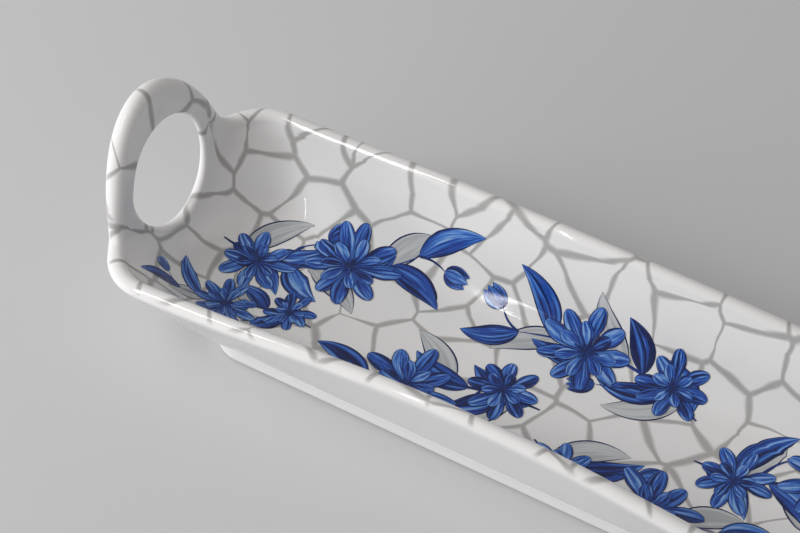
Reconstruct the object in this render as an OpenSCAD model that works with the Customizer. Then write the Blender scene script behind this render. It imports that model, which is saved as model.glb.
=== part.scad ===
// Oblong serving tray of white glazed porcelain: a deep trough on a low foot, with a loop handle at each end.
// Millimetres. +X runs along the tray, +Z is up, and the origin lies on the table under the tray's middle.

/* [Rim] */
// Length between the middles of the two end lips
rim_length = 299; // [260:1:360]
// Width between the middles of the two side lips
rim_width = 87; // [84:1:100]
// Height of the lip's middle above the table, halfway along the tray
rim_height = 41.5; // [38:0.5:46]
// How far the rim dips from there to the ends
rim_dip = 7; // [4:0.5:8]
// Length of the dip at each end
dip_length = 140; // [80:1:145]
// Radius of the rim's corners, seen from above, along the lip's middle
corner_radius = 20.5; // [17:0.5:24]
// How far the long walls spread sideways towards each end, at the rim's full height
corner_flare = 7.5; // [4:0.5:9]
// How much rounder the corners get halfway down the wall
corner_tuck = 12; // [0:1:14]
// Thickness of the wall at the lip, which is rounded over
lip_thickness = 6.2; // [5:0.2:7]

/* [Trough] */
// Thickness of the floor
floor_thickness = 4; // [3:0.5:6]
// Radius between the floor and the long walls, on the inside
floor_radius = 9; // [5:0.5:12]
// Width of the rounding under the long walls, on the outside
hull_radius = 1; // [0.5:0.5:3]
// Height of the ramp between the floor and the end walls
ramp_height = 16; // [12:0.5:18]

/* [Foot] */
// Length of the foot
foot_length = 230; // [200:1:240]
// Width of the foot
foot_width = 63; // [56:1:68]
// Height of the foot
foot_height = 7; // [4:0.5:9]
// Radius of the foot's corners
foot_corner = 13; // [8:0.5:20]
// Thickness of the foot's band
foot_band = 4.5; // [3:0.5:8]

/* [Handles] */
// Width of a handle over its two limbs, at its seats
handle_width = 63; // [58:0.5:68]
// Height of a handle's top above the table
handle_top = 75; // [72:0.5:84]
// Height above the table that a handle's arched outline springs from, below its seats
arch_foot = 20; // [14:0.5:28]
// Outward lean of the end walls and handles
handle_lean = 14; // [8:0.5:18]
// Thickness of a handle at its top, where it stands in a little further than the lip
handle_thickness = 7.4; // [6.4:0.2:9]
// Radius of the rim's sweep up into a handle
shoulder_radius = 8; // [5:0.5:10]
// Width of the finger hole
hole_width = 41; // [36:0.5:44]
// Height of the finger hole
hole_height = 37.5; // [32:0.5:40]
// Height of the finger hole's middle above the table
hole_middle = 42; // [40:0.5:45]

/* [Hidden] */
porcelain = "whitesmoke";
biscuit = "gainsboro";

// Steps along a corner on each side of a handle's limb, along the sides, ends, walls, lip, loop and hole
limb_steps = 5;
bend_steps = 10;
side_steps = 12;
end_steps = 4;
wall_steps = 8;
lip_steps = 6;
loop_steps = 36;
loop_sides = 16;
hole_steps = 64;
// Squareness of a handle's section: 2 is an ellipse
section_power = 2.4;

// Least and most shares of a corner that the limb's side of it may take
least_share = 0.08;
most_share = 0.8;

lip_radius = lip_thickness / 2;
half_length = rim_length / 2;
half_width = rim_width / 2;
floor_height = foot_height + floor_thickness;
end_rim_height = rim_height - rim_dip;
seat_height = end_rim_height + shoulder_radius;
wall_rise = rim_height - foot_height;
lean_slope = tan(handle_lean);
// Slope of the long walls, and the reach of the ramp under the end walls, so that both meet the foot's edge
side_slope = (half_width + lip_radius - foot_width / 2 - hull_radius) / wall_rise;
ramp_reach = half_length + lip_radius - foot_length / 2 - wall_rise * lean_slope;

// Eased step from 0 to 1
function ease(u) = let (t = min(max(u, 0), 1)) t * t * (3 - 2 * t);
// Quarter-round that falls from 1 at u = 0 to 0 at u = 1
function quarter(u) = u >= 1 ? 0 : 1 - sqrt(1 - (1 - max(u, 0)) ^ 2);
function signed_power(v, p) = sign(v) * abs(v) ^ p;

// Inset of the long and end walls from the rim at height z, for a skin that starts at height low
function side_inset(z, low, round_size) =
    (rim_height - z) * side_slope + round_size * quarter((z - low) / round_size);
function end_inset(z, low) =
    (rim_height - z) * lean_slope + ramp_reach * quarter((z - low) / ramp_height);
// Extra corner radius at height z: none at the end rim and at the bottom, most halfway between
function tuck(z, low) =
    corner_tuck * sin(180 * min(max((end_rim_height - z) / (end_rim_height - low), 0), 1));

// Half length, half width and corner radius of a skin at height z, shifted out or in from the lip's middle
function skin(z, shift, low, round_size) =
    let (inset = side_inset(z, low, round_size))
    let (full = side_inset(low, low, round_size))
    let (radius = corner_radius + shift - (corner_radius + shift - foot_corner) * inset / full)
    [half_length + shift - end_inset(z, low), half_width + shift - inset, radius + tuck(z, low)];
function outer_skin(z) = skin(z, lip_radius, foot_height, hull_radius);
function inner_skin(z) = skin(z, -lip_radius, floor_height, floor_radius);
function middle_skin(z) = (outer_skin(z) + inner_skin(z)) / 2;

// Share of the dip reached at a distance from the tray's middle, and the sideways spread that goes with it
function dip_share(x) = ease((abs(x) - half_length + dip_length) / dip_length);
function spread(x, z) = 1 + corner_flare / half_width * dip_share(x) * (z - foot_height) / wall_rise;
// A station round the tray is [share along, share across, corner direction]; this is its place on a skin
function on_skin(s, k, z) =
    let (x = s[0] * (k[0] - k[2]) + k[2] * s[2])
    [x, (s[1] * (k[1] - k[2]) + k[2] * s[3]) * spread(x, z)];

// Stations of one quarter, from the middle of the +X end to the middle of the +Y side
seat_skin = middle_skin(seat_height);
limb_reach = handle_width / 2 / spread(half_length, seat_height);
limb_share = (limb_reach - seat_skin[1] + seat_skin[2]) / seat_skin[2];
limb_angle = asin(min(max(limb_share, least_share), most_share));
end_stations = [for (i = [0:end_steps - 1]) [1, i / end_steps, 1, 0]];
limb_stations = [for (i = [0:limb_steps - 1]) let (a = limb_angle * i / limb_steps) [1, 1, cos(a), sin(a)]];
bend_stations = [
    for (i = [0:bend_steps])
        let (a = limb_angle + (90 - limb_angle) * i / bend_steps) [1, 1, cos(a), sin(a)]
];
side_stations = [for (i = [1:side_steps]) [1 - i / side_steps, 1, 0, 1]];
quarter_stations = concat(end_stations, limb_stations, bend_stations, side_stations);
quarter_count = len(quarter_stations);
function flipped(list, x, y) = [for (s = list) [s[0] * x, s[1] * y, s[2] * x, s[3] * y]];
function backwards(list, first, last) = [for (i = [last:-1:first]) list[i]];
stations = concat(
    quarter_stations,
    flipped(backwards(quarter_stations, 0, quarter_count - 2), -1, 1),
    flipped([for (i = [1:quarter_count - 1]) quarter_stations[i]], -1, -1),
    flipped(backwards(quarter_stations, 1, quarter_count - 2), 1, -1)
);

// Distance of a station past a handle's limb, measured at the seats
function limb_gap(s) = abs(on_skin(s, seat_skin, seat_height)[1]) - handle_width / 2;
function by_handle(s) = abs(s[0]) == 1 && limb_gap(s) < shoulder_radius;
// Height of the lip's middle at a station: level, dipped towards the ends, then swept up to the seats
function rim_at(s) =
    let (place = on_skin(s, [half_length, half_width, corner_radius], rim_height))
    let (dipped = rim_height - rim_dip * dip_share(place[0]))
    let (short = shoulder_radius - max(limb_gap(s), 0))
    let (swept = dipped + shoulder_radius - sqrt(shoulder_radius ^ 2 - short ^ 2))
    by_handle(s) ? min(swept, seat_height) : dipped;

// Heights along a wall bunch up at its foot, where the wall curves most
function wall_share(i) = 1 - cos(90 * i / wall_steps);
function with_height(p, z) = [p[0], p[1], z];
function outer_point(s, i) =
    let (z = foot_height + (rim_at(s) - foot_height) * wall_share(i))
    with_height(on_skin(s, outer_skin(z), z), z);
function inner_point(s, i) =
    let (z = floor_height + (rim_at(s) - floor_height) * wall_share(i))
    with_height(on_skin(s, inner_skin(z), z), z);
function lip_point(s, i) =
    let (z = rim_at(s))
    let (a = 180 * i / lip_steps)
    let (mix = (1 - cos(a)) / 2)
    let (place = on_skin(s, outer_skin(z), z) * (1 - mix) + on_skin(s, inner_skin(z), z) * mix)
    let (top = z + lip_radius * sin(a))
    with_height(place, by_handle(s) ? min(top, seat_height) : top);

// Closed solid through rings of points, with its first and last ring closed by a fan about their middle
function ring_middle(ring) = [for (c = [0:2]) [for (p = ring) p[c]] * [for (p = ring) 1] / len(ring)];
module lofted(rings) {
    around = len(rings[0]);
    last = len(rings) - 1;
    points = concat(
        [for (ring = rings) each ring],
        [ring_middle(rings[0]), ring_middle(rings[last])]
    );
    first_middle = len(points) - 2;
    last_middle = len(points) - 1;
    sides = [
        for (r = [0:last - 1])
            for (i = [0:around - 1])
                let (a = r * around + i)
                let (b = r * around + (i + 1) % around)
                each [[a, a + around, b], [b, a + around, b + around]]
    ];
    caps = [
        for (i = [0:around - 1])
            let (j = (i + 1) % around)
            each [[first_middle, i, j], [last_middle, last * around + j, last * around + i]]
    ];
    polyhedron(points, concat(sides, caps), convexity = 10);
}

// The trough without its finger holes: up the outside, over the lip and down the inside to the floor
module trough() {
    lofted(concat(
        [for (i = [0:wall_steps - 1]) [for (s = stations) outer_point(s, i)]],
        [for (i = [0:lip_steps]) [for (s = stations) lip_point(s, i)]],
        [for (i = [wall_steps - 1:-1:0]) [for (s = stations) inner_point(s, i)]]
    ));
}

// Outline of the finger hole, and the bar of that outline that cuts both end walls
hole_outline = [
    for (i = [0:hole_steps - 1])
        let (a = 360 * i / hole_steps) [hole_width / 2 * cos(a), hole_height / 2 * sin(a)]
];
module hole_bar() {
    reach = half_length + handle_top;
    translate([-reach, 0, hole_middle]) rotate([90, 0, 90]) linear_extrude(2 * reach) polygon(hole_outline);
}

module tray_body() {
    color(porcelain) difference() {
        trough();
        hole_bar();
    }
}

// A loop runs over the hole from seat to seat. Its two edges start level at the seat.
hole_start = asin((seat_height - hole_middle) / (hole_height / 2));
edge_rise = handle_top - arch_foot;
edge_start = asin((seat_height - arch_foot) / edge_rise);
edge_half_width = handle_width / 2 / cos(edge_start);
function hole_edge(u) =
    let (a = hole_start + (180 - 2 * hole_start) * u)
    [hole_width / 2 * cos(a), hole_middle + hole_height / 2 * sin(a)];
function outer_edge(u) =
    let (a = edge_start + (180 - 2 * edge_start) * u)
    [edge_half_width * cos(a), arch_foot + edge_rise * sin(a)];

// Distance of the end wall's middle from the tray's middle, at y and z
function end_reach(y, z) =
    let (k = middle_skin(z))
    let (past = max(abs(y) / spread(half_length, z) - k[1] + k[2], 0))
    k[0] - k[2] + sqrt(k[2] ^ 2 - past ^ 2);

// One section of a loop: a rounded rectangle from the hole's edge to the outer edge, flush on the outside
function loop_ring(u) =
    let (middle = (hole_edge(u) + outer_edge(u)) / 2)
    let (half_band = (outer_edge(u) - hole_edge(u)) / 2)
    let (half_thick = (lip_thickness + (handle_thickness - lip_thickness) * sin(180 * u)) / 2)
    [
        for (i = [0:loop_sides - 1])
            let (a = 360 * i / loop_sides)
            let (p = middle + half_band * signed_power(cos(a), 2 / section_power))
            let (centre = end_reach(p[0], p[1]) + lip_radius - half_thick)
            [centre + half_thick * signed_power(sin(a), 2 / section_power), p[0], p[1]]
    ];

module loop() {
    lofted([for (i = [loop_steps:-1:0]) loop_ring(i / loop_steps)]);
}

module right_handle() {
    color(porcelain) loop();
}

module left_handle() {
    color(porcelain) mirror([1, 0, 0]) loop();
}

// Rectangle with round corners, centred
module rounded_rectangle(length, width, radius) {
    square([length - 2 * radius, width], center = true);
    square([length, width - 2 * radius], center = true);
    for (x = [-1, 1], y = [-1, 1])
        translate([x * (length / 2 - radius), y * (width / 2 - radius)]) circle(radius, $fn = hole_steps);
}

module foot_ring() {
    color(biscuit) linear_extrude(foot_height) difference() {
        rounded_rectangle(foot_length, foot_width, foot_corner);
        rounded_rectangle(foot_length - 2 * foot_band, foot_width - 2 * foot_band, foot_corner - foot_band);
    }
}

tray_body();
left_handle();
right_handle();
foot_ring();
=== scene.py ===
import math
import random

import bmesh
import bpy
from mathutils import Matrix, Vector
from mathutils.bvhtree import BVHTree
from mathutils.geometry import barycentric_transform


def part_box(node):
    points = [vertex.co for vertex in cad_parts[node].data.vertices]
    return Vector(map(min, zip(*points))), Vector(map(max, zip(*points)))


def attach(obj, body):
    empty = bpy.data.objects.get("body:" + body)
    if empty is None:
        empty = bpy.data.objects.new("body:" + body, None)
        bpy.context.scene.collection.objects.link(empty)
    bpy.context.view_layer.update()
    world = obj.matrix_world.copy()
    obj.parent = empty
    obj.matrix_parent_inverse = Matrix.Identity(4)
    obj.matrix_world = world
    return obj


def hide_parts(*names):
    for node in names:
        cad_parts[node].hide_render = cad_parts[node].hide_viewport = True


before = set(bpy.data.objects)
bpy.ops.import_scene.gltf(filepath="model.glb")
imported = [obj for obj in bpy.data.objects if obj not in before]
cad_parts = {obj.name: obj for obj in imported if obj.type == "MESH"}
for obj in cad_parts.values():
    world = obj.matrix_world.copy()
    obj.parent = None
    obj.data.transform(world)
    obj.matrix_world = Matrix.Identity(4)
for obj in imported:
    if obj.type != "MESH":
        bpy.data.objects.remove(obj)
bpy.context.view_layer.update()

# Trough and loop handles: white porcelain, slip-cast as a flared trough with a rounded lip. The two loops
# are stuck on the end walls with slip before firing, so the glaze runs over the joints without a seam.
# Both are drawn here as one sheet with an outer and an inner skin, and parted again at the handles' seats.
body_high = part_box("tray_body")[1]
handle_low, handle_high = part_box("right_handle")
foot_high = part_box("foot_ring")[1]
lip_thickness = 0.0062
lip_radius = lip_thickness / 2
rim_height = body_high.z - lip_radius
rim_half_width = 0.0435
seat_height = handle_low.z
shoulder_radius = 0.008
shoulder_reach = 0.012
shoulder_splay = 0.003
end_rim_height = seat_height - shoulder_radius
rim_dip = rim_height - end_rim_height
dip_length = 0.140
corner_radius = 0.0205
corner_flare = 0.0075
corner_tuck = 0.012
floor_thickness = 0.004
floor_radius = 0.009
hull_radius = 0.001
ramp_height = 0.016
foot_height = foot_high.z
foot_half_length = foot_high.x
foot_half_width = foot_high.y
foot_corner = 0.013
floor_height = foot_height + floor_thickness
lean_angle = 14
lean_slope = math.tan(math.radians(lean_angle))
rim_half_length = body_high.x - lip_radius - (seat_height - rim_height) * lean_slope
handle_half_width = handle_high.y
handle_top = handle_high.z
handle_thickness = 0.0074
handle_blend = 0.010
arch_foot = 0.020
hole_half_width = 0.0205
hole_half_height = 0.01875
hole_middle = 0.0420
hole_edge = 0.0034
hole_rounding = hole_edge / 2
hole_thinning = lip_thickness - hole_edge
wall_rise = rim_height - foot_height
side_slope = (rim_half_width + lip_radius - foot_half_width - hull_radius) / wall_rise
ramp_reach = rim_half_length + lip_radius - foot_half_length - wall_rise * lean_slope
# Each skin is its shift from the lip's middle, the height it starts at and the rounding at its foot
skins = {
    "outer": (lip_radius, foot_height, hull_radius),
    "inner": (-lip_radius, floor_height, floor_radius),
}
wall_rows = 10
block_rows = 4
shoulder_steps = 5
corner_steps = 8
side_steps = 15
block_steps = 12
arch_steps = 24
plate_rings = 4
lip_steps = 6
lip_print_start = 0.1
lip_print_fade = 0.3
unroll_steps = 4
sheet_levels = 2


def ease(u):
    t = min(max(u, 0), 1)
    return t * t * (3 - 2 * t)


def quarter_round(u):
    return 0 if u >= 1 else 1 - math.sqrt(1 - (1 - max(u, 0)) ** 2)


def skin_at(side, z):
    """Half length, half width and corner radius of a skin at height z."""
    shift, low, rounding = skins[side]
    inset = (rim_height - z) * side_slope + rounding * quarter_round((z - low) / rounding)
    full = (rim_height - low) * side_slope + rounding
    end_inset = (rim_height - z) * lean_slope + ramp_reach * quarter_round((z - low) / ramp_height)
    depth = min(max((end_rim_height - z) / (end_rim_height - low), 0), 1)
    radius = corner_radius + shift - (corner_radius + shift - foot_corner) * inset / full
    radius += corner_tuck * math.sin(math.pi * depth)
    return rim_half_length + shift - end_inset, rim_half_width + shift - inset, radius


def dip_share(x):
    return ease((abs(x) - rim_half_length + dip_length) / dip_length)


def spread(x, z):
    return 1 + corner_flare / rim_half_width * dip_share(x) * (z - foot_height) / wall_rise


def on_skin(station, skin, z):
    along, across, direction_x, direction_y = station
    half_length, half_width, radius = skin
    x = along * (half_length - radius) + radius * direction_x
    y = across * (half_width - radius) + radius * direction_y
    return Vector((x, y * spread(x, z), z))


def plate_point(side, end, y, z, inset=0):
    """Point of an end wall or handle at y and z, on one skin; inset is what the wall thins by at the hole."""
    if side == "inner":
        inset += (handle_thickness - lip_thickness) * ease((z - seat_height) / handle_blend)
    half_length, half_width, radius = skin_at(side, z)
    past = max(abs(y) / spread(rim_half_length, z) - half_width + radius, 0)
    reach = half_length - radius + math.sqrt(radius ** 2 - past ** 2)
    return Vector((end * (reach - inset), y, z))


limb_y = handle_half_width - lip_radius
limb_floor_y = 0.015


def limb_at(side, z):
    """Distance of the limbs' columns from the middle: they close in down the wall, clear of the hole."""
    low = skins[side][1]
    return limb_floor_y + (limb_y - limb_floor_y) * ease((z - low) / (seat_height - low))


def arc_turn(skin, reach):
    """Turn along a corner's arc at which a skin's outline is a given distance from the middle."""
    return math.asin(min(max((reach - skin[1] + skin[2]) / skin[2], 0), 1))


def station_at(side, column, z):
    """Share along, share across and direction of a column at height z."""
    kind, value, end, hand, rim = column
    if kind == "side":
        return value * end, hand, 0, hand
    skin = skin_at(side, z)
    limb = limb_at(side, z) / spread(rim_half_length, z)
    if kind == "corner":
        first = arc_turn(skin, limb)
        turn = first + (math.pi / 2 - first) * value
        return end, hand, end * math.cos(turn), hand * math.sin(turn)
    turn = arc_turn(skin, limb * value)
    across = min(limb * value / (skin[1] - skin[2]), 1)
    return end, hand * across, end * math.cos(turn), hand * math.sin(turn)


def dipped_rim(station):
    place = on_skin(station, (rim_half_length, rim_half_width, corner_radius), rim_height)
    return rim_height - rim_dip * dip_share(place.x)


# A column is its kind, its share of the end, corner or side, its end, its hand and the height of its rim
seat_skin = [(a + b) / 2 for a, b in zip(skin_at("outer", seat_height), skin_at("inner", seat_height))]
seat_spread = spread(rim_half_length, seat_height)
first_turn = arc_turn(seat_skin, limb_y / seat_spread)
corner_turn = math.pi / 2 - first_turn
quarter = [("end", 1, 1, 1, seat_height)]
for step in range(1, shoulder_steps + 1):
    t = step / shoulder_steps
    reach = limb_y + 2 * t * (1 - t) * shoulder_splay + t * t * shoulder_reach
    share = (arc_turn(seat_skin, reach / seat_spread) - first_turn) / corner_turn
    quarter.append(("corner", share, 1, 1, end_rim_height + shoulder_radius * (1 - t) ** 2))
for step in range(1, corner_steps + 1):
    corner_share = share + (1 - share) * step / corner_steps
    turn = first_turn + corner_turn * corner_share
    quarter.append(("corner", corner_share, 1, 1, dipped_rim((1, 1, math.cos(turn), math.sin(turn)))))
for step in range(1, side_steps + 1):
    side_share = 1 - step / side_steps
    quarter.append(("side", side_share, 1, 1, dipped_rim((side_share, 1, 0, 1))))


def flipped(columns, x, y):
    return [(kind, value, end * x, hand * y, rim) for kind, value, end, hand, rim in columns]


def end_block(end, first_hand):
    shares = [first_hand * (1 - 2 * step / block_steps) for step in range(1, block_steps)]
    return [("end", abs(share), end, math.copysign(1, share), seat_height) for share in shares]


far_side = quarter + flipped(quarter[-2::-1], -1, 1)
near_side = flipped(far_side[::-1], 1, -1)
left_block = end_block(-1, 1)
right_block = end_block(1, -1)
columns = far_side + left_block + near_side + right_block
far_range = range(0, len(far_side))
left_range = range(far_range.stop, far_range.stop + len(left_block))
near_range = range(left_range.stop, left_range.stop + len(near_side))
right_range = range(near_range.stop, len(columns))


def wall_point(side, column, row):
    low = skins[side][1]
    z = low + (column[-1] - low) * (1 - math.cos(math.pi / 2 * row / wall_rows))
    return on_skin(station_at(side, column, z), skin_at(side, z), z)


def unrolled(column, row):
    """Place of a wall's point on the inside laid flat: its plan, pushed out by what the wall climbs."""
    point = wall_point("inner", column, 0)
    climb = 0
    out = Vector((0, 0, 0))
    for step in range(1, row * unroll_steps + 1):
        last = point
        point = wall_point("inner", column, step / unroll_steps)
        station = station_at("inner", column, point.z)
        out = Vector((station[2], station[3], 0))
        run = out.dot(point - last)
        climb += math.hypot(run, point.z - last.z) - run
    return point + out * climb


end_column = ("end", 0, 1, 1, handle_top)
end_rows = [step / unroll_steps for step in range(wall_rows * unroll_steps + 1)]
end_profile = [wall_point("inner", end_column, row) for row in end_rows]
end_climb = [0]
for a, b in zip(end_profile, end_profile[1:]):
    end_climb.append(end_climb[-1] + (b - a).length - abs(b.x - a.x))


def unrolled_plate(point):
    """The same for a point of an end wall or handle."""
    for low, high, a, b in zip(end_profile, end_profile[1:], end_climb, end_climb[1:]):
        if point.z <= high.z:
            break
    climb = a + (b - a) * (point.z - low.z) / (high.z - low.z)
    half_length, half_width, radius = skin_at("inner", point.z)
    past = max(abs(point.y) / spread(rim_half_length, point.z) - half_width + radius, 0)
    turn = math.asin(min(past / radius, 1))
    out = Vector((math.copysign(math.cos(turn), point.x), math.copysign(math.sin(turn), point.y), 0))
    return Vector((point.x, point.y, 0)) + out * climb


sheet = bmesh.new()
print_place = sheet.verts.layers.float_vector.new("print_place")
print_share = sheet.verts.layers.float.new("print_share")


def extrude_row(mesh, row, closed):
    """Extrudes a row of vertices and returns the new row in the same order."""
    pairs = list(zip(row, row[1:] + row[:1])) if closed else list(zip(row, row[1:]))
    edges = [mesh.edges.get(pair) for pair in pairs]
    made = bmesh.ops.extrude_edge_only(mesh, edges=edges)["geom"]
    fresh = {item for item in made if isinstance(item, bmesh.types.BMVert)}
    return [next(e.other_vert(v) for e in v.link_edges if e.other_vert(v) in fresh) for v in row]


def set_wall(side, row_verts, row_columns, row):
    for vert, column in zip(row_verts, row_columns):
        vert.co = wall_point(side, column, row)
        vert[print_place] = unrolled(column, row)
        vert[print_share] = side == "inner"


def set_plate(side, end, vert, y, z, inset=0):
    vert.co = plate_point(side, end, y, z, inset)
    vert[print_place] = unrolled_plate(vert.co)
    vert[print_share] = side == "inner"


def close_floor(side, ring):
    """Fills a skin's lowest ring with strips that run from its far side to its near side."""
    far = [ring[i] for i in far_range]
    near = [ring[i] for i in near_range][::-1]
    line = [far[0]] + [ring[i] for i in right_range][::-1] + [near[0]]
    welds = {}
    for far_vert, near_vert in zip(far[1:], near[1:]):
        line = extrude_row(sheet, line, False)
        for step, vert in enumerate(line):
            vert.co = far_vert.co.lerp(near_vert.co, step / block_steps)
            vert[print_place] = vert.co
            vert[print_share] = side == "inner"
        welds[line[0]] = far_vert
        welds[line[-1]] = near_vert
    welds.update(zip(line[1:-1], [ring[i] for i in left_range]))
    bmesh.ops.weld_verts(sheet, targetmap=welds)


def draw_skin(side):
    """One skin of the sheet; returns its rim and its two holes, each with the row of vertices inside it."""
    ring = bmesh.ops.create_circle(sheet, segments=len(columns), radius=1)["verts"]
    set_wall(side, ring, columns, 0)
    close_floor(side, ring)
    for row in range(1, block_rows + 1):
        ring = extrude_row(sheet, ring, True)
        set_wall(side, ring, columns, row)
    strips = []
    for reach, strip_columns in ((far_range, far_side), (near_range, near_side)):
        rows = [[ring[i] for i in reach]]
        for row in range(block_rows + 1, wall_rows + 1):
            rows.append(extrude_row(sheet, rows[-1], False))
            set_wall(side, rows[-1], strip_columns, row)
        strips.append(rows)
    far_rows, near_rows = strips
    arches = {}
    holes = {}
    limbs_inside = {}
    arch_rise = handle_top - lip_radius - arch_foot
    start = math.asin((seat_height - arch_foot) / arch_rise)
    arch_half_width = limb_y / math.cos(start)
    for end, column_at, block in ((1, 0, right_range), (-1, -1, left_range)):
        far_limb = [row[column_at] for row in far_rows]
        near_limb = [row[-1 - column_at] for row in near_rows]
        arch = [far_limb[-1]]
        for step in range(1, arch_steps):
            turn = start + (math.pi - 2 * start) * step / arch_steps
            arch.append(bmesh.ops.extrude_vert_indiv(sheet, verts=[arch[-1]])["verts"][0])
            z = arch_foot + arch_rise * math.sin(turn)
            set_plate(side, end, arch[-1], arch_half_width * math.cos(turn), z)
        sheet.edges.new((arch[-1], near_limb[-1]))
        floor_row = [ring[i] for i in block][::end]
        edge = arch + near_limb[::-1] + floor_row + far_limb[:-1]
        jogs = [vert[print_place] - unrolled_plate(vert.co) for vert in edge]
        rings = [edge]
        hole_width = hole_half_width + hole_rounding
        hole_height = hole_half_height + hole_rounding
        for layer in range(1, plate_rings + 1):
            rings.append(extrude_row(sheet, rings[-1], True))
            share = layer / plate_rings
            for vert, outside, jog in zip(rings[-1], edge, jogs):
                turn = math.atan2((outside.co.z - hole_middle) / hole_height, outside.co.y / hole_width)
                y = outside.co.y * (1 - share) + hole_width * math.cos(turn) * share
                z = outside.co.z * (1 - share) + (hole_middle + hole_height * math.sin(turn)) * share
                inset = hole_thinning * ease(share) if side == "outer" else 0
                set_plate(side, end, vert, y, z, inset)
                vert[print_place] += jog * (1 - share)
        arches[end] = (arch[1:], rings[1][1:arch_steps])
        limbs_inside[end] = (rings[1][0], rings[1][arch_steps])
        holes[end] = (rings[-1], rings[-2])
    rim = far_rows[-1] + arches[-1][0] + near_rows[-1] + arches[1][0][::-1]
    far_inside = [limbs_inside[1][0]] + far_rows[-2][1:-1] + [limbs_inside[-1][0]]
    near_inside = [limbs_inside[-1][1]] + near_rows[-2][1:-1] + [limbs_inside[1][1]]
    inside = far_inside + arches[-1][1] + near_inside + arches[1][1][::-1]
    return (rim, inside), holes[1], holes[-1]


def round_edge(outer, inner, depth):
    """Closes the two skins along one edge with a rounded lip of the given depth."""
    outer_edge, outer_inside = outer
    inner_edge, inner_inside = inner
    count = len(outer_edge)
    bends = []
    for i in range(count):
        middle = (outer_edge[i].co + inner_edge[i].co) / 2
        half = (outer_edge[i].co - inner_edge[i].co) / 2
        run = outer_edge[(i + 1) % count].co - outer_edge[i - 1].co
        away = run.cross(half).normalized() * depth
        if away.dot(middle - (outer_inside[i].co + inner_inside[i].co) / 2) < 0:
            away.negate()
        flat_out = inner_edge[i][print_place] - inner_inside[i][print_place]
        bends.append((middle, half, away, inner_edge[i][print_place].copy(), flat_out.normalized()))
    row = outer_edge
    for step in range(1, lip_steps + 1):
        row = extrude_row(sheet, row, True)
        turn = math.pi * step / lip_steps
        for vert, (middle, half, away, place, flat_out) in zip(row, bends):
            vert.co = middle + half * math.cos(turn) + away * math.sin(turn)
            vert[print_place] = place + flat_out * half.length * (math.pi - turn)
            vert[print_share] = ease((step / lip_steps - lip_print_start) / lip_print_fade)
    bmesh.ops.weld_verts(sheet, targetmap=dict(zip(row, inner_edge)))


outer_rim, *outer_holes = draw_skin("outer")
inner_rim, *inner_holes = draw_skin("inner")
round_edge(outer_rim, inner_rim, lip_radius)
for outer, inner in zip(outer_holes, inner_holes):
    round_edge(outer, inner, hole_rounding)
bmesh.ops.recalc_face_normals(sheet, faces=sheet.faces)
porcelain_pieces = ("tray_body", "left_handle", "right_handle")
handle_zone = rim_half_length - corner_radius
for face in sheet.faces:
    face.smooth = True
    centre = face.calc_center_median()
    if centre.z > seat_height and abs(centre.x) > handle_zone:
        handle_name = "left_handle" if centre.x < 0 else "right_handle"
        face.material_index = porcelain_pieces.index(handle_name)
sheet_mesh = bpy.data.meshes.new("porcelain_sheet")
for name in porcelain_pieces:
    sheet_mesh.materials.append(None)
sheet.to_mesh(sheet_mesh)
sheet.free()


def place_item(name, data):
    """A new object in the scene, with the given mesh, lamp or camera."""
    item = bpy.data.objects.new(name, data)
    bpy.context.scene.collection.objects.link(item)
    return item


def smooth(item, levels):
    smoothing = item.modifiers.new("smooth", "SUBSURF")
    smoothing.levels = levels
    smoothing.render_levels = levels


sheet_object = place_item("porcelain_sheet", sheet_mesh)
smooth(sheet_object, sheet_levels)
whole = bpy.data.meshes.new_from_object(sheet_object.evaluated_get(bpy.context.evaluated_depsgraph_get()))
bpy.data.objects.remove(sheet_object)

# The glaze's look, shared by everything under it: a faint waviness from dipping and firing, and a slight
# change of gloss where the glaze lies thicker.
wave_scale = 34.0
wave_strength = 0.12
wave_depth = 0.0004
grain_scale = 420.0
grain_share = 0.03
lowest_roughness = 0.03
highest_roughness = 0.08


def add_node(tree, kind, **settings):
    node = tree.nodes.new(kind)
    for key, value in settings.items():
        if key in node.inputs:
            node.inputs[key].default_value = value
        else:
            setattr(node, key, value)
    return node


def remap(tree, low, high, out_low=0.0, out_high=1.0, **settings):
    """A node that turns low to high into out_low to out_high."""
    node = add_node(tree, "ShaderNodeMapRange", **settings)
    node.inputs["From Min"].default_value = low
    node.inputs["From Max"].default_value = high
    node.inputs["To Min"].default_value = out_low
    node.inputs["To Max"].default_value = out_high
    return node


def scaled(tree, operation, factor):
    """A math node whose second value is fixed."""
    node = add_node(tree, "ShaderNodeMath", operation=operation)
    node.inputs[1].default_value = factor
    return node


def node_group(name, entries, results):
    """A shader node group with the given named sockets; returns it with its two ends."""
    group = bpy.data.node_groups.new(name, "ShaderNodeTree")
    for in_out, sockets in (("INPUT", entries), ("OUTPUT", results)):
        for socket, kind in sockets.items():
            group.interface.new_socket(socket, in_out=in_out, socket_type=f"NodeSocket{kind}")
    return group, add_node(group, "NodeGroupInput"), add_node(group, "NodeGroupOutput")


def wire(tree, links):
    """Links a node's output to another node's input, for each row of the list."""
    for source, output, target, entry in links:
        tree.links.new(source.outputs[output], target.inputs[entry])


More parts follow.
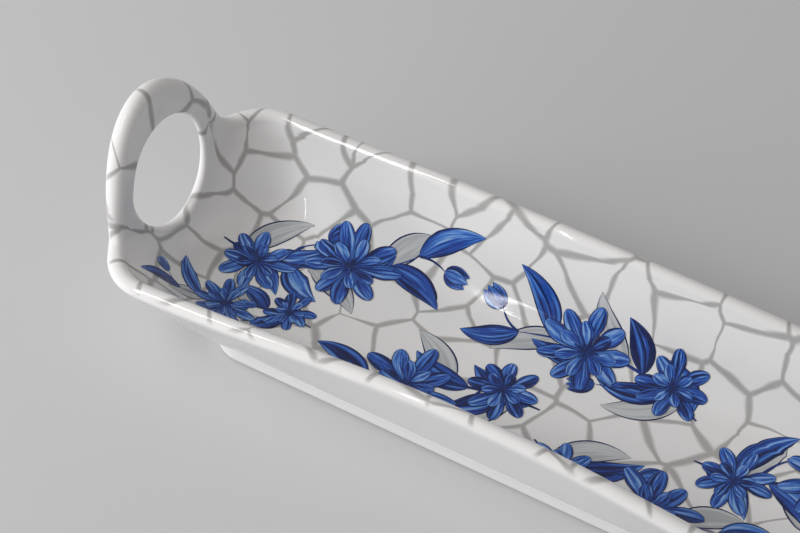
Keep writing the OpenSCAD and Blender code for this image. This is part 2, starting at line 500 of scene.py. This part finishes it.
ripple_results = {"Height": "Float", "Roughness": "Float"}
glaze_ripple, ripple_in, ripple_out = node_group("glaze_ripple", {"Vector": "Vector"}, ripple_results)
ripple_wide = add_node(glaze_ripple, "ShaderNodeTexNoise", Scale=wave_scale, Detail=1.0)
ripple_fine = add_node(glaze_ripple, "ShaderNodeTexNoise", Scale=grain_scale, Detail=2.0)
ripple_sum = scaled(glaze_ripple, "MULTIPLY_ADD", grain_share)
ripple_gloss = remap(glaze_ripple, 0.0, 1.0, lowest_roughness, highest_roughness)
wire(glaze_ripple, [
    (ripple_in, "Vector", ripple_wide, "Vector"),
    (ripple_in, "Vector", ripple_fine, "Vector"),
    (ripple_fine, "Fac", ripple_sum, 0),
    (ripple_wide, "Fac", ripple_sum, 2),
    (ripple_wide, "Fac", ripple_gloss, "Value"),
    (ripple_sum, "Value", ripple_out, "Height"),
    (ripple_gloss, "Result", ripple_out, "Roughness"),
])


def glazed(name):
    """A new material with the glaze over it; returns it with its tree, shader and object coordinates."""
    material = bpy.data.materials.new(name)
    material.use_nodes = True
    tree = material.node_tree
    shader = tree.nodes["Principled BSDF"]
    where = add_node(tree, "ShaderNodeTexCoord")
    ripple = add_node(tree, "ShaderNodeGroup", node_tree=glaze_ripple)
    bump = add_node(tree, "ShaderNodeBump", Strength=wave_strength, Distance=wave_depth)
    wire(tree, [
        (where, "Object", ripple, "Vector"),
        (ripple, "Height", bump, "Height"),
        (bump, "Normal", shader, "Normal"),
        (ripple, "Roughness", shader, "Roughness"),
    ])
    return material, tree, shader, where


# Porcelain material: clean white body, a little cooler in places, with the soft grey cracked-ice net that is
# printed over the inside, the lip and the handles.
porcelain_white = (0.85, 0.846, 0.84, 1)
porcelain_cool = (0.828, 0.829, 0.83, 1)
porcelain_shades = {"White": porcelain_white, "Cool": porcelain_cool}
cloud_scale = 18.0
ice_grey = (0.44, 0.437, 0.432, 1)
ice_cell = 0.020
bend_scale = 45.0
bend_reach = 0.005
bend_middle = (0.5, 0.5, 0.5)
width_scale = 60.0
width_low = 0.3
width_high = 0.7
line_thin = 0.025
line_wide = 0.12
line_core = 0.2
cloud_entries = {"Vector": "Vector", "White": "Color", "Cool": "Color"}
porcelain_cloud, cloud_in, cloud_out = node_group("porcelain_cloud", cloud_entries, {"Color": "Color"})
cloud_noise = add_node(porcelain_cloud, "ShaderNodeTexNoise", Scale=cloud_scale, Detail=3.0)
cloud_mix = add_node(porcelain_cloud, "ShaderNodeMix", data_type="RGBA")
wire(porcelain_cloud, [
    (cloud_in, "Vector", cloud_noise, "Vector"),
    (cloud_noise, "Fac", cloud_mix, "Factor"),
    (cloud_in, "White", cloud_mix, "A"),
    (cloud_in, "Cool", cloud_mix, "B"),
    (cloud_mix, "Result", cloud_out, "Color"),
])
porcelain, tree, shader, where = glazed("white_porcelain")
cloud = add_node(tree, "ShaderNodeGroup", node_tree=porcelain_cloud, **porcelain_shades)
flat_place = add_node(tree, "ShaderNodeAttribute", attribute_name="print_place")
inside_share = add_node(tree, "ShaderNodeAttribute", attribute_name="print_share")
bend = add_node(tree, "ShaderNodeTexNoise", Scale=bend_scale, Detail=1.0)
bend_centre = add_node(tree, "ShaderNodeVectorMath", operation="SUBTRACT")
bend_centre.inputs[1].default_value = bend_middle
bend_shift = add_node(tree, "ShaderNodeVectorMath", operation="SCALE", Scale=bend_reach)
bent_place = add_node(tree, "ShaderNodeVectorMath", operation="ADD")
ice = add_node(tree, "ShaderNodeTexVoronoi", voronoi_dimensions="2D", feature="DISTANCE_TO_EDGE")
ice.inputs["Scale"].default_value = 1 / ice_cell
width_noise = add_node(tree, "ShaderNodeTexNoise", Scale=width_scale, Detail=1.0)
line_width = remap(tree, width_low, width_high, line_thin, line_wide)
line_edge = add_node(tree, "ShaderNodeMath", operation="DIVIDE")
line_mask = remap(tree, line_core, 1.0, 1.0, 0.0, interpolation_type="SMOOTHSTEP")
inside_mask = add_node(tree, "ShaderNodeMath", operation="MULTIPLY")
net = add_node(tree, "ShaderNodeMix", data_type="RGBA")
net.inputs["B"].default_value = ice_grey
wire(tree, [
    (where, "Object", cloud, "Vector"),
    (flat_place, "Vector", bend, "Vector"),
    (bend, "Color", bend_centre, 0),
    (bend_centre, "Vector", bend_shift, 0),
    (flat_place, "Vector", bent_place, 0),
    (bend_shift, "Vector", bent_place, 1),
    (bent_place, "Vector", ice, "Vector"),
    (flat_place, "Vector", width_noise, "Vector"),
    (width_noise, "Fac", line_width, "Value"),
    (ice, "Distance", line_edge, 0),
    (line_width, "Result", line_edge, 1),
    (line_edge, "Value", line_mask, "Value"),
    (line_mask, "Result", inside_mask, 0),
    (inside_share, "Fac", inside_mask, 1),
    (inside_mask, "Value", net, "Factor"),
    (cloud, "Color", net, "A"),
    (net, "Result", shader, "Base Color"),
])


def part_porcelain(name, index):
    """Cuts one piece out of the sheet, closes it at the seats and keeps the whole sheet's shading."""
    piece = bmesh.new()
    piece.from_mesh(whole)
    shading = piece.verts.layers.float_vector.new("shading")
    for vert in piece.verts:
        vert[shading] = vert.normal
    others = [face for face in piece.faces if face.material_index != index]
    bmesh.ops.delete(piece, geom=others, context="FACES")
    seats = [edge for edge in piece.edges if edge.is_boundary]
    caps = set(bmesh.ops.holes_fill(piece, edges=seats, sides=0)["faces"])
    normals = []
    for face in piece.faces:
        face.material_index = 0
        normals.extend(face.normal.copy() if face in caps else v[shading].copy() for v in face.verts)
    mesh = bpy.data.meshes.new(f"glazed_{name}")
    piece.to_mesh(mesh)
    piece.free()
    mesh.normals_split_custom_set(normals)
    mesh.materials.append(porcelain)
    item = place_item(f"glazed_{name}", mesh)
    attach(item, "root")
    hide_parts(name)


for index, name in enumerate(porcelain_pieces):
    part_porcelain(name, index)

# Foot: a low upright band of the same porcelain under the floor, glazed on its sides. The face that it
# stands on is wiped clean of glaze before firing, so a narrow ring of bare, slightly warm clay shows below.
foot_band = 0.0045
foot_rounding = 0.0009
rounding_end = foot_rounding * 2
foot_flare = 0.0007
upright_height = foot_height * 0.55
flare_height = foot_height - foot_flare * 2
flare_start = foot_flare * 0.15
foot_levels = 1
bare_clay = (0.60, 0.57, 0.53, 1)
bare_core = 0.0003
bare_height = 0.0005
# Each row of the band is its distance out from the foot's outline and its height
foot_rows = [
    (-foot_band, foot_height),
    (-foot_band, foot_height / 2),
    (-foot_band, rounding_end),
    (-foot_band, foot_rounding),
    (-foot_band + foot_rounding, 0),
    (-foot_band / 2, 0),
    (-foot_rounding, 0),
    (0, foot_rounding),
    (0, rounding_end),
    (0, upright_height),
    (flare_start, flare_height),
    (foot_flare, foot_height),
]
foot = bmesh.new()
row = bmesh.ops.create_circle(foot, segments=len(columns), radius=1)["verts"]
for level, (out, height) in enumerate(foot_rows):
    if level:
        row = extrude_row(foot, row, True)
    for vert, column in zip(row, columns):
        station = station_at("outer", column, foot_height)
        outline = (foot_half_length + out, foot_half_width + out, foot_corner + out)
        vert.co = on_skin(station, outline, foot_height)
        vert.co.y = station[1] * (outline[1] - outline[2]) + outline[2] * station[3]
        vert.co.z = height
edges = [edge for edge in foot.edges if edge.is_boundary]
bmesh.ops.bridge_loops(foot, edges=edges)
bmesh.ops.recalc_face_normals(foot, faces=foot.faces)
for face in foot.faces:
    face.smooth = True
foot_mesh = bpy.data.meshes.new("foot_ring")
foot.to_mesh(foot_mesh)
foot.free()
foot_item = place_item("foot_band", foot_mesh)
smooth(foot_item, foot_levels)
foot_material, tree, shader, where = glazed("foot_porcelain")
cloud = add_node(tree, "ShaderNodeGroup", node_tree=porcelain_cloud, **porcelain_shades)
height_axis = add_node(tree, "ShaderNodeSeparateXYZ")
bare_mask = remap(tree, bare_core, bare_height, 1.0, 0.0, interpolation_type="SMOOTHSTEP")
bare_mix = add_node(tree, "ShaderNodeMix", data_type="RGBA")
bare_mix.inputs["B"].default_value = bare_clay
bare_gloss = add_node(tree, "ShaderNodeMath", operation="MAXIMUM")
glaze_gloss = shader.inputs["Roughness"].links[0].from_node
wire(tree, [
    (where, "Object", cloud, "Vector"),
    (where, "Object", height_axis, "Vector"),
    (height_axis, "Z", bare_mask, "Value"),
    (bare_mask, "Result", bare_mix, "Factor"),
    (cloud, "Color", bare_mix, "A"),
    (bare_mix, "Result", shader, "Base Color"),
    (glaze_gloss, "Roughness", bare_gloss, 0),
    (bare_mask, "Result", bare_gloss, 1),
    (bare_gloss, "Value", shader, "Roughness"),
])
foot_mesh.materials.append(foot_material)
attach(foot_item, "root")
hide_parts("foot_ring")

# Printed sprays: blossoms, buds and leaves in cobalt blues over soft grey shadow leaves, a common pattern of
# blue and white ware. They are transfer prints fired under the glaze, so they follow the inside exactly and
# shine as it does. Each spray is laid out flat and then wrapped on the inside of the tray.
fully_inside = 0.999
flat_points = [Vector((item.vector[0], item.vector[1], 0)) for item in whole.attributes["print_place"].data]
inside_level = [item.value for item in whole.attributes["print_share"].data]
whole.calc_loop_triangles()
inside_faces = []
for triangle in whole.loop_triangles:
    if min(inside_level[i] for i in triangle.vertices) > fully_inside:
        inside_faces.append(tuple(triangle.vertices))
flat_tree = BVHTree.FromPolygons(flat_points, inside_faces)
print_lift = 0.00004
stroke_lift = 0.000008
stroke_grain = 0.0007
fewest_along = 6
fewest_across = 2
path_step = 0.01
# Places of the inks in a spray's list of materials
blue_ink = 0
grey_ink = 1
line_ink = 2


def wrapped(flat, lift):
    """Point and normal on the tray's inside for a point of the flat layout; None beyond its edges."""
    hit = flat_tree.ray_cast(Vector((flat.x, flat.y, 1)), Vector((0, 0, -1)))
    if hit[0] is None:
        return None
    corners = inside_faces[hit[2]]
    flat_corners = [flat_points[i] for i in corners]
    at = Vector((flat.x, flat.y, 0))
    point = barycentric_transform(at, *flat_corners, *(whole.vertices[i].co for i in corners))
    normal = barycentric_transform(at, *flat_corners, *(whole.vertices[i].normal for i in corners))
    normal.normalize()
    return point + normal * lift, normal


def bent(start, control, finish, t):
    return start.lerp(control, t).lerp(control.lerp(finish, t), t)


def toward(turn):
    return Vector((math.cos(turn), math.sin(turn)))


leaf_lean = 0.8
leaf_fullness = 0.85
petal_waist = 0.22
petal_swell = 0.7
petal_bluntness = 5
stem_taper = 0.5
stem_bluntness = 8
stem_start = 0.4
stem_growth = 6


def leaf_width(t):
    return math.sin(math.pi * t ** leaf_lean) ** leaf_fullness if t < 1 else 0


def petal_width(t):
    swell = petal_waist + (1 - petal_waist) * ease(t / petal_swell)
    return swell * math.sqrt(max(1 - t ** petal_bluntness, 0))


def stem_width(t):
    taper = (1 - stem_taper * t) * math.sqrt(1 - t ** stem_bluntness)
    return taper * min(stem_start + stem_growth * t, 1)


# Blossom, leaf and bud, as shares of their own radius or length, in turns, or as shares of the spray's size
petal_jitter = 0.12
petal_reach = (0.88, 1.08)
petal_sway = 0.25
petal_bow = 0.5
petal_root = 0.06
petal_breadth = 1.75
inner_ring = 0.62
inner_fewer = 2
stamens = 9
stamen_reach = (0.2, 0.3)
stamen_width = 0.035
leaf_bend = (0.25, 0.5)
leaf_bow = 0.55
twig_bend = 0.4
twig_bow = 0.5
twig_width = 0.006
bud_spread = 0.45
bud_closing = 0.5
bud_length = 0.11
bud_belly = 0.06
bud_width = 0.028


class Spray:
    """Brush strokes of one spray, each a narrow grid with its own UV and tone."""

    def __init__(self, name, centre, heading, size, seed):
        self.name = name
        self.centre = Vector(centre)
        self.turn = math.radians(heading)
        self.size = size
        self.chance = random.Random(seed)
        self.mesh = bmesh.new()
        self.mesh.loops.layers.uv.new("stroke")
        self.tone = self.mesh.verts.layers.float.new("tone")
        self.facing = self.mesh.verts.layers.float_vector.new("facing")

    def flat(self, point):
        x = point.x * math.cos(self.turn) - point.y * math.sin(self.turn)
        y = point.x * math.sin(self.turn) + point.y * math.cos(self.turn)
        return self.centre + Vector((x, y)) * self.size

    def stroke(self, start, control, finish, half_width, shape, ink, layer):
        """Lays one stroke along a bent path; widths and points are shares of the spray's size."""
        length = ((control - start).length + (finish - control).length) * self.size
        along = max(fewest_along, round(length / stroke_grain))
        across = max(fewest_across, round(2 * half_width * self.size / stroke_grain))
        grid = bmesh.ops.create_grid(self.mesh, x_segments=across, y_segments=along, size=1, calc_uvs=True)
        verts = grid["verts"]
        tone = self.chance.random()
        missed = []
        for vert in verts:
            side = vert.co.x
            t = math.sin((vert.co.y + 1) / 2 * math.pi / 2)
            ahead = bent(start, control, finish, min(t + path_step, 1))
            behind = bent(start, control, finish, max(t - path_step, 0))
            run = (ahead - behind).normalized()
            point = bent(start, control, finish, t) + Vector((run.y, -run.x)) * side * half_width * shape(t)
            place = wrapped(self.flat(point), print_lift + stroke_lift * layer)
            if place is None:
                missed.append(vert)
                continue
            vert.co = place[0]
            vert[self.tone] = tone
            vert[self.facing] = place[1]
        for face in {face for vert in verts for face in vert.link_faces}:
            face.material_index = ink
            face.smooth = True
        bmesh.ops.delete(self.mesh, geom=missed, context="VERTS")

    def blossom(self, centre, radius, petals, layer):
        """Two rings of broad petals round a small dark middle with stamens."""
        first = self.chance.uniform(0, math.tau)
        rings = ((radius, petals, 0), (radius * inner_ring, petals - inner_fewer, petals))
        for ring_radius, count, level in rings:
            for index in range(count):
                jitter = self.chance.uniform(-petal_jitter, petal_jitter)
                turn = first + math.tau * index / count + jitter + level
                reach = ring_radius * self.chance.uniform(*petal_reach)
                tip = centre + toward(turn) * reach
                sway = turn + self.chance.uniform(-petal_sway, petal_sway)
                control = centre + toward(sway) * reach * petal_bow
                start = centre + toward(turn) * radius * petal_root
                width = ring_radius * petal_breadth / count
                self.stroke(start, control, tip, width, petal_width, blue_ink, layer + level + index)
        for index in range(stamens):
            turn = first + math.tau * index / stamens
            tip = centre + toward(turn) * radius * self.chance.uniform(*stamen_reach)
            above = layer + 2 * petals + index
            self.stroke(centre, (centre + tip) / 2, tip, radius * stamen_width, leaf_width, line_ink, above)

    def leaf(self, base, turn, length, width, ink, layer):
        bend = self.chance.choice((-1, 1)) * self.chance.uniform(*leaf_bend)
        tip = base + toward(turn) * length
        control = base + toward(turn + bend) * length * leaf_bow
        self.stroke(base, control, tip, width, leaf_width, ink, layer)

    def bud(self, base, turn, length, layer):
        """A closed bud of three petals on a thin twig."""
        tip = base + toward(turn) * length
        control = base + toward(turn + twig_bend) * length * twig_bow
        self.stroke(base, control, tip, twig_width, stem_width, line_ink, layer)
        for order, sway in enumerate((bud_spread, -bud_spread, 0)):
            end = tip + toward(turn + sway * bud_closing) * bud_length
            side = tip + toward(turn + sway) * bud_belly
            self.stroke(tip, side, end, bud_width, leaf_width, blue_ink, layer + 1 + order)

    def finish(self, materials):
        mesh = bpy.data.meshes.new(self.name)
        normals = [vert[self.facing].copy() for vert in self.mesh.verts]
        self.mesh.to_mesh(mesh)
        self.mesh.free()
        mesh.normals_split_custom_set_from_vertices(normals)
        for material in materials:
            mesh.materials.append(material)
        item = place_item(self.name, mesh)
        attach(item, "root")


# Inks of the print: cobalt brushwork in streaks from pale to navy, a soft grey wash, and navy line work. All
# are metal oxide colours that the firing sinks into the glaze.
ink_navy = (0.008, 0.017, 0.085, 1)
ink_cobalt = (0.021, 0.075, 0.37, 1)
ink_blue = (0.065, 0.2, 0.6, 1)
ink_pale = (0.25, 0.43, 0.74, 1)
wash_grey = (0.43, 0.45, 0.47, 1)
wash_pale = (0.58, 0.60, 0.615, 1)
stroke_middle = 0.5
edge_start = 0.42
edge_full = 0.455
tip_start = 0.87
tip_full = 0.92
streak_count = 5.5
streak_length = 1.1
tone_shift = 57.0
streak_low = 0.33
streak_high = 0.67
tip_fade = -0.3
tone_depth = 0.3
stroke_results = {"Edge": "Float", "Streak": "Float"}
stroke_group, stroke_in, stroke_out = node_group("brush_stroke", {"Streaks": "Float"}, stroke_results)
stroke_uv = add_node(stroke_group, "ShaderNodeUVMap", uv_map="stroke")
stroke_tone = add_node(stroke_group, "ShaderNodeAttribute", attribute_name="tone")
stroke_axes = add_node(stroke_group, "ShaderNodeSeparateXYZ")
stroke_centre = scaled(stroke_group, "SUBTRACT", stroke_middle)
stroke_side = add_node(stroke_group, "ShaderNodeMath", operation="ABSOLUTE")
stroke_edge = remap(stroke_group, edge_start, edge_full, interpolation_type="SMOOTHSTEP")
stroke_tip = remap(stroke_group, tip_start, tip_full, interpolation_type="SMOOTHSTEP")
stroke_rim = add_node(stroke_group, "ShaderNodeMath", operation="MAXIMUM")
stroke_spread = add_node(stroke_group, "ShaderNodeMath", operation="MULTIPLY")
stroke_shift = scaled(stroke_group, "MULTIPLY_ADD", tone_shift)
stroke_length = scaled(stroke_group, "MULTIPLY", streak_length)
stroke_place = add_node(stroke_group, "ShaderNodeCombineXYZ")
stroke_noise = add_node(stroke_group, "ShaderNodeTexNoise", Scale=1.0, Detail=2.5, Roughness=0.55)
stroke_contrast = remap(stroke_group, streak_low, streak_high, clamp=False)
stroke_fade = scaled(stroke_group, "MULTIPLY_ADD", tip_fade)
stroke_depth = scaled(stroke_group, "MULTIPLY_ADD", tone_depth)
wire(stroke_group, [
    (stroke_uv, "UV", stroke_axes, "Vector"),
    (stroke_axes, "X", stroke_centre, 0),
    (stroke_centre, "Value", stroke_side, 0),
    (stroke_side, "Value", stroke_edge, "Value"),
    (stroke_axes, "Y", stroke_tip, "Value"),
    (stroke_edge, "Result", stroke_rim, 0),
    (stroke_tip, "Result", stroke_rim, 1),
    (stroke_axes, "X", stroke_spread, 0),
    (stroke_in, "Streaks", stroke_spread, 1),
    (stroke_tone, "Fac", stroke_shift, 0),
    (stroke_spread, "Value", stroke_shift, 2),
    (stroke_axes, "Y", stroke_length, 0),
    (stroke_shift, "Value", stroke_place, "X"),
    (stroke_length, "Value", stroke_place, "Y"),
    (stroke_place, "Vector", stroke_noise, "Vector"),
    (stroke_noise, "Fac", stroke_contrast, "Value"),
    (stroke_axes, "Y", stroke_fade, 0),
    (stroke_contrast, "Result", stroke_fade, 2),
    (stroke_tone, "Fac", stroke_depth, 0),
    (stroke_fade, "Value", stroke_depth, 2),
    (stroke_rim, "Value", stroke_out, "Edge"),
    (stroke_depth, "Value", stroke_out, "Streak"),
])


def brushed(name, stops):
    """A print ink: streaks through the given stops, edged in navy. A new ramp has two stops already."""
    material, tree, shader, _ = glazed(name)
    strokes = add_node(tree, "ShaderNodeGroup", node_tree=stroke_group, Streaks=streak_count)
    ramp = add_node(tree, "ShaderNodeValToRGB")
    for index, (position, colour) in enumerate(stops):
        stop = ramp.color_ramp.elements[index] if index < 2 else ramp.color_ramp.elements.new(position)
        stop.position = position
        stop.color = colour
    edged = add_node(tree, "ShaderNodeMix", data_type="RGBA")
    edged.inputs["B"].default_value = ink_navy
    wire(tree, [
        (strokes, "Streak", ramp, "Fac"),
        (strokes, "Edge", edged, "Factor"),
        (ramp, "Color", edged, "A"),
        (edged, "Result", shader, "Base Color"),
    ])
    return material


blue_stops = [
    (0.08, ink_pale),
    (0.82, ink_navy),
    (0.22, ink_blue),
    (0.36, ink_blue),
    (0.46, ink_cobalt),
    (0.62, ink_cobalt),
]
wash_stops = [(0.3, wash_pale), (0.7, wash_grey)]
line_stops = [(0.2, ink_cobalt), (0.6, ink_navy)]
inks = [
    brushed("blue_print", blue_stops),
    brushed("grey_print", wash_stops),
    brushed("line_print", line_stops),
]
# The stem's three points. A leaf is its share along the stem and its side, and a grey one its length as well;
# a bud its share, turn and length; a blossom its share, its shift across, its radius and its petals.
stem_tail = Vector((-0.5, -0.06))
stem_bow = Vector((-0.1, -0.16))
stem_head = Vector((0.28, 0.06))
stem_half_width = 0.008
grey_leaves = ((0.12, 1, 0.3), (0.45, -1, 0.3), (0.8, 1, 0.28))
grey_turns = (0.6, 0.9)
grey_half_width = 0.055
blue_leaves = ((0.05, -1), (0.2, 1), (0.36, -1), (0.55, 1), (0.85, -1), (1.0, 1))
blue_lengths = (0.22, 0.32)
blue_turns = (0.35, 0.85)
blue_half_width = 0.052
buds = ((0.3, 0.75, 0.22), (1.0, -0.35, 0.12))
blossoms = ((0.66, 0.02, 0.2, 9), (0.2, -0.03, 0.15, 8))
# Layers in which the strokes lie over each other
grey_layer = 1
blue_layer = 4
stem_layer = 11
bud_layer = 12
blossom_layer = 18
first_seed = 11
# Each spray is its centre in the flat layout, its heading and its size
spray_plan = [
    ((-0.088, 0.020), 14, 0.088),
    ((0.004, 0.021), 168, 0.088),
    ((0.096, 0.019), 16, 0.088),
    ((-0.112, -0.021), -172, 0.060),
    ((-0.040, -0.021), -166, 0.088),
    ((0.050, -0.021), -12, 0.088),
    ((0.122, -0.022), 178, 0.056),
]
for number, (centre, heading, size) in enumerate(spray_plan):
    spray = Spray(f"spray_{number + 1}", centre, heading, size, number + first_seed)
    for share, side, length in grey_leaves:
        base = bent(stem_tail, stem_bow, stem_head, share)
        turn = side * spray.chance.uniform(*grey_turns)
        spray.leaf(base, turn, length, grey_half_width, grey_ink, grey_layer)
    for order, (share, side) in enumerate(blue_leaves):
        base = bent(stem_tail, stem_bow, stem_head, share)
        length = spray.chance.uniform(*blue_lengths)
        turn = side * spray.chance.uniform(*blue_turns)
        spray.leaf(base, turn, length, blue_half_width, blue_ink, blue_layer + order)
    spray.stroke(stem_tail, stem_bow, stem_head, stem_half_width, stem_width, line_ink, stem_layer)
    for share, turn, length in buds:
        spray.bud(bent(stem_tail, stem_bow, stem_head, share), turn, length, bud_layer)
    for share, shift, radius, petals in blossoms:
        middle = bent(stem_tail, stem_bow, stem_head, share) + Vector((0, shift))
        spray.blossom(middle, radius, petals, blossom_layer)
    spray.finish(inks)

# Plain pale table that the tray stands on: one wide smooth sheet, nearly white and nearly without gloss, so
# that it takes the tray's soft shadow and mirrors nothing.
table_size = 6.0
table_grey = (0.636, 0.636, 0.65, 1)
table_roughness = 0.6
table_mesh = bpy.data.meshes.new("table")
table = bmesh.new()
bmesh.ops.create_grid(table, x_segments=1, y_segments=1, size=table_size / 2)
table.to_mesh(table_mesh)
table.free()
table_object = place_item("table", table_mesh)
table_material = bpy.data.materials.new("pale_table")
table_material.use_nodes = True
table_shader = table_material.node_tree.nodes["Principled BSDF"]
table_shader.inputs["Base Color"].default_value = table_grey
table_shader.inputs["Roughness"].default_value = table_roughness
table_mesh.materials.append(table_material)

# Studio light: a wide soft key from the left, a low soft fill from the front left, two narrow bright windows
# that the glaze mirrors in streaks along the lip, and an even room.
room_colour = (1.0, 0.967, 0.945, 1)
room_strength = 0.365
world = bpy.data.worlds.new("room")
bpy.context.scene.world = world
world.use_nodes = True
room = world.node_tree.nodes["Background"]
room.inputs["Color"].default_value = room_colour
room.inputs["Strength"].default_value = room_strength
lit_place = Vector((-0.05, 0, 0))
# Each lamp is its place, the direction of its long side, its width, length and power, and whether the glaze
# mirrors it
lamps = {
    "key": ((-1.38, -0.62, 0.66), (0, 0, 1), 0.8, 0.6, 15.5, False),
    "front_fill": ((-0.95, -1.45, 0.42), (0, 0, 1), 1.4, 0.5, 6.5, False),
    "left_window": ((-0.732, -0.405, 1.08), (0, 0.87, 0.46), 0.04, 0.9, 1.7, True),
    "front_window": ((-0.469, -0.807, 0.988), (0, 0.772, 0.636), 0.018, 0.9, 0.8, True),
}
for name, (place, along, width, length, power, mirrored) in lamps.items():
    light = bpy.data.lights.new(name, "AREA")
    light.shape = "RECTANGLE"
    light.size = width
    light.size_y = length
    light.energy = power
    lamp = place_item(name, light)
    lamp.location = place
    back = (Vector(place) - lit_place).normalized()
    side = Vector(along).cross(back).normalized()
    lamp.rotation_euler = Matrix((side, back.cross(side), back)).transposed().to_euler()
    lamp.visible_glossy = mirrored

# Camera at the photograph's angle: a long lens, above the near side and to the right of the left handle, so
# that the left end fills the picture and the right end runs out of it.
lens_length = 144
film_width = 36
look_at = Vector((-0.0762, 0.0348, 0))
camera_data = bpy.data.cameras.new("camera")
camera_data.lens = lens_length
camera_data.sensor_width = film_width
camera = place_item("camera", camera_data)
camera.location = (0.3058, -0.6086, 0.8311)
camera.rotation_euler = (look_at - camera.location).to_track_quat("-Z", "Y").to_euler()
bpy.context.scene.camera = camera
bpy.context.scene.view_settings.view_transform = "Standard"
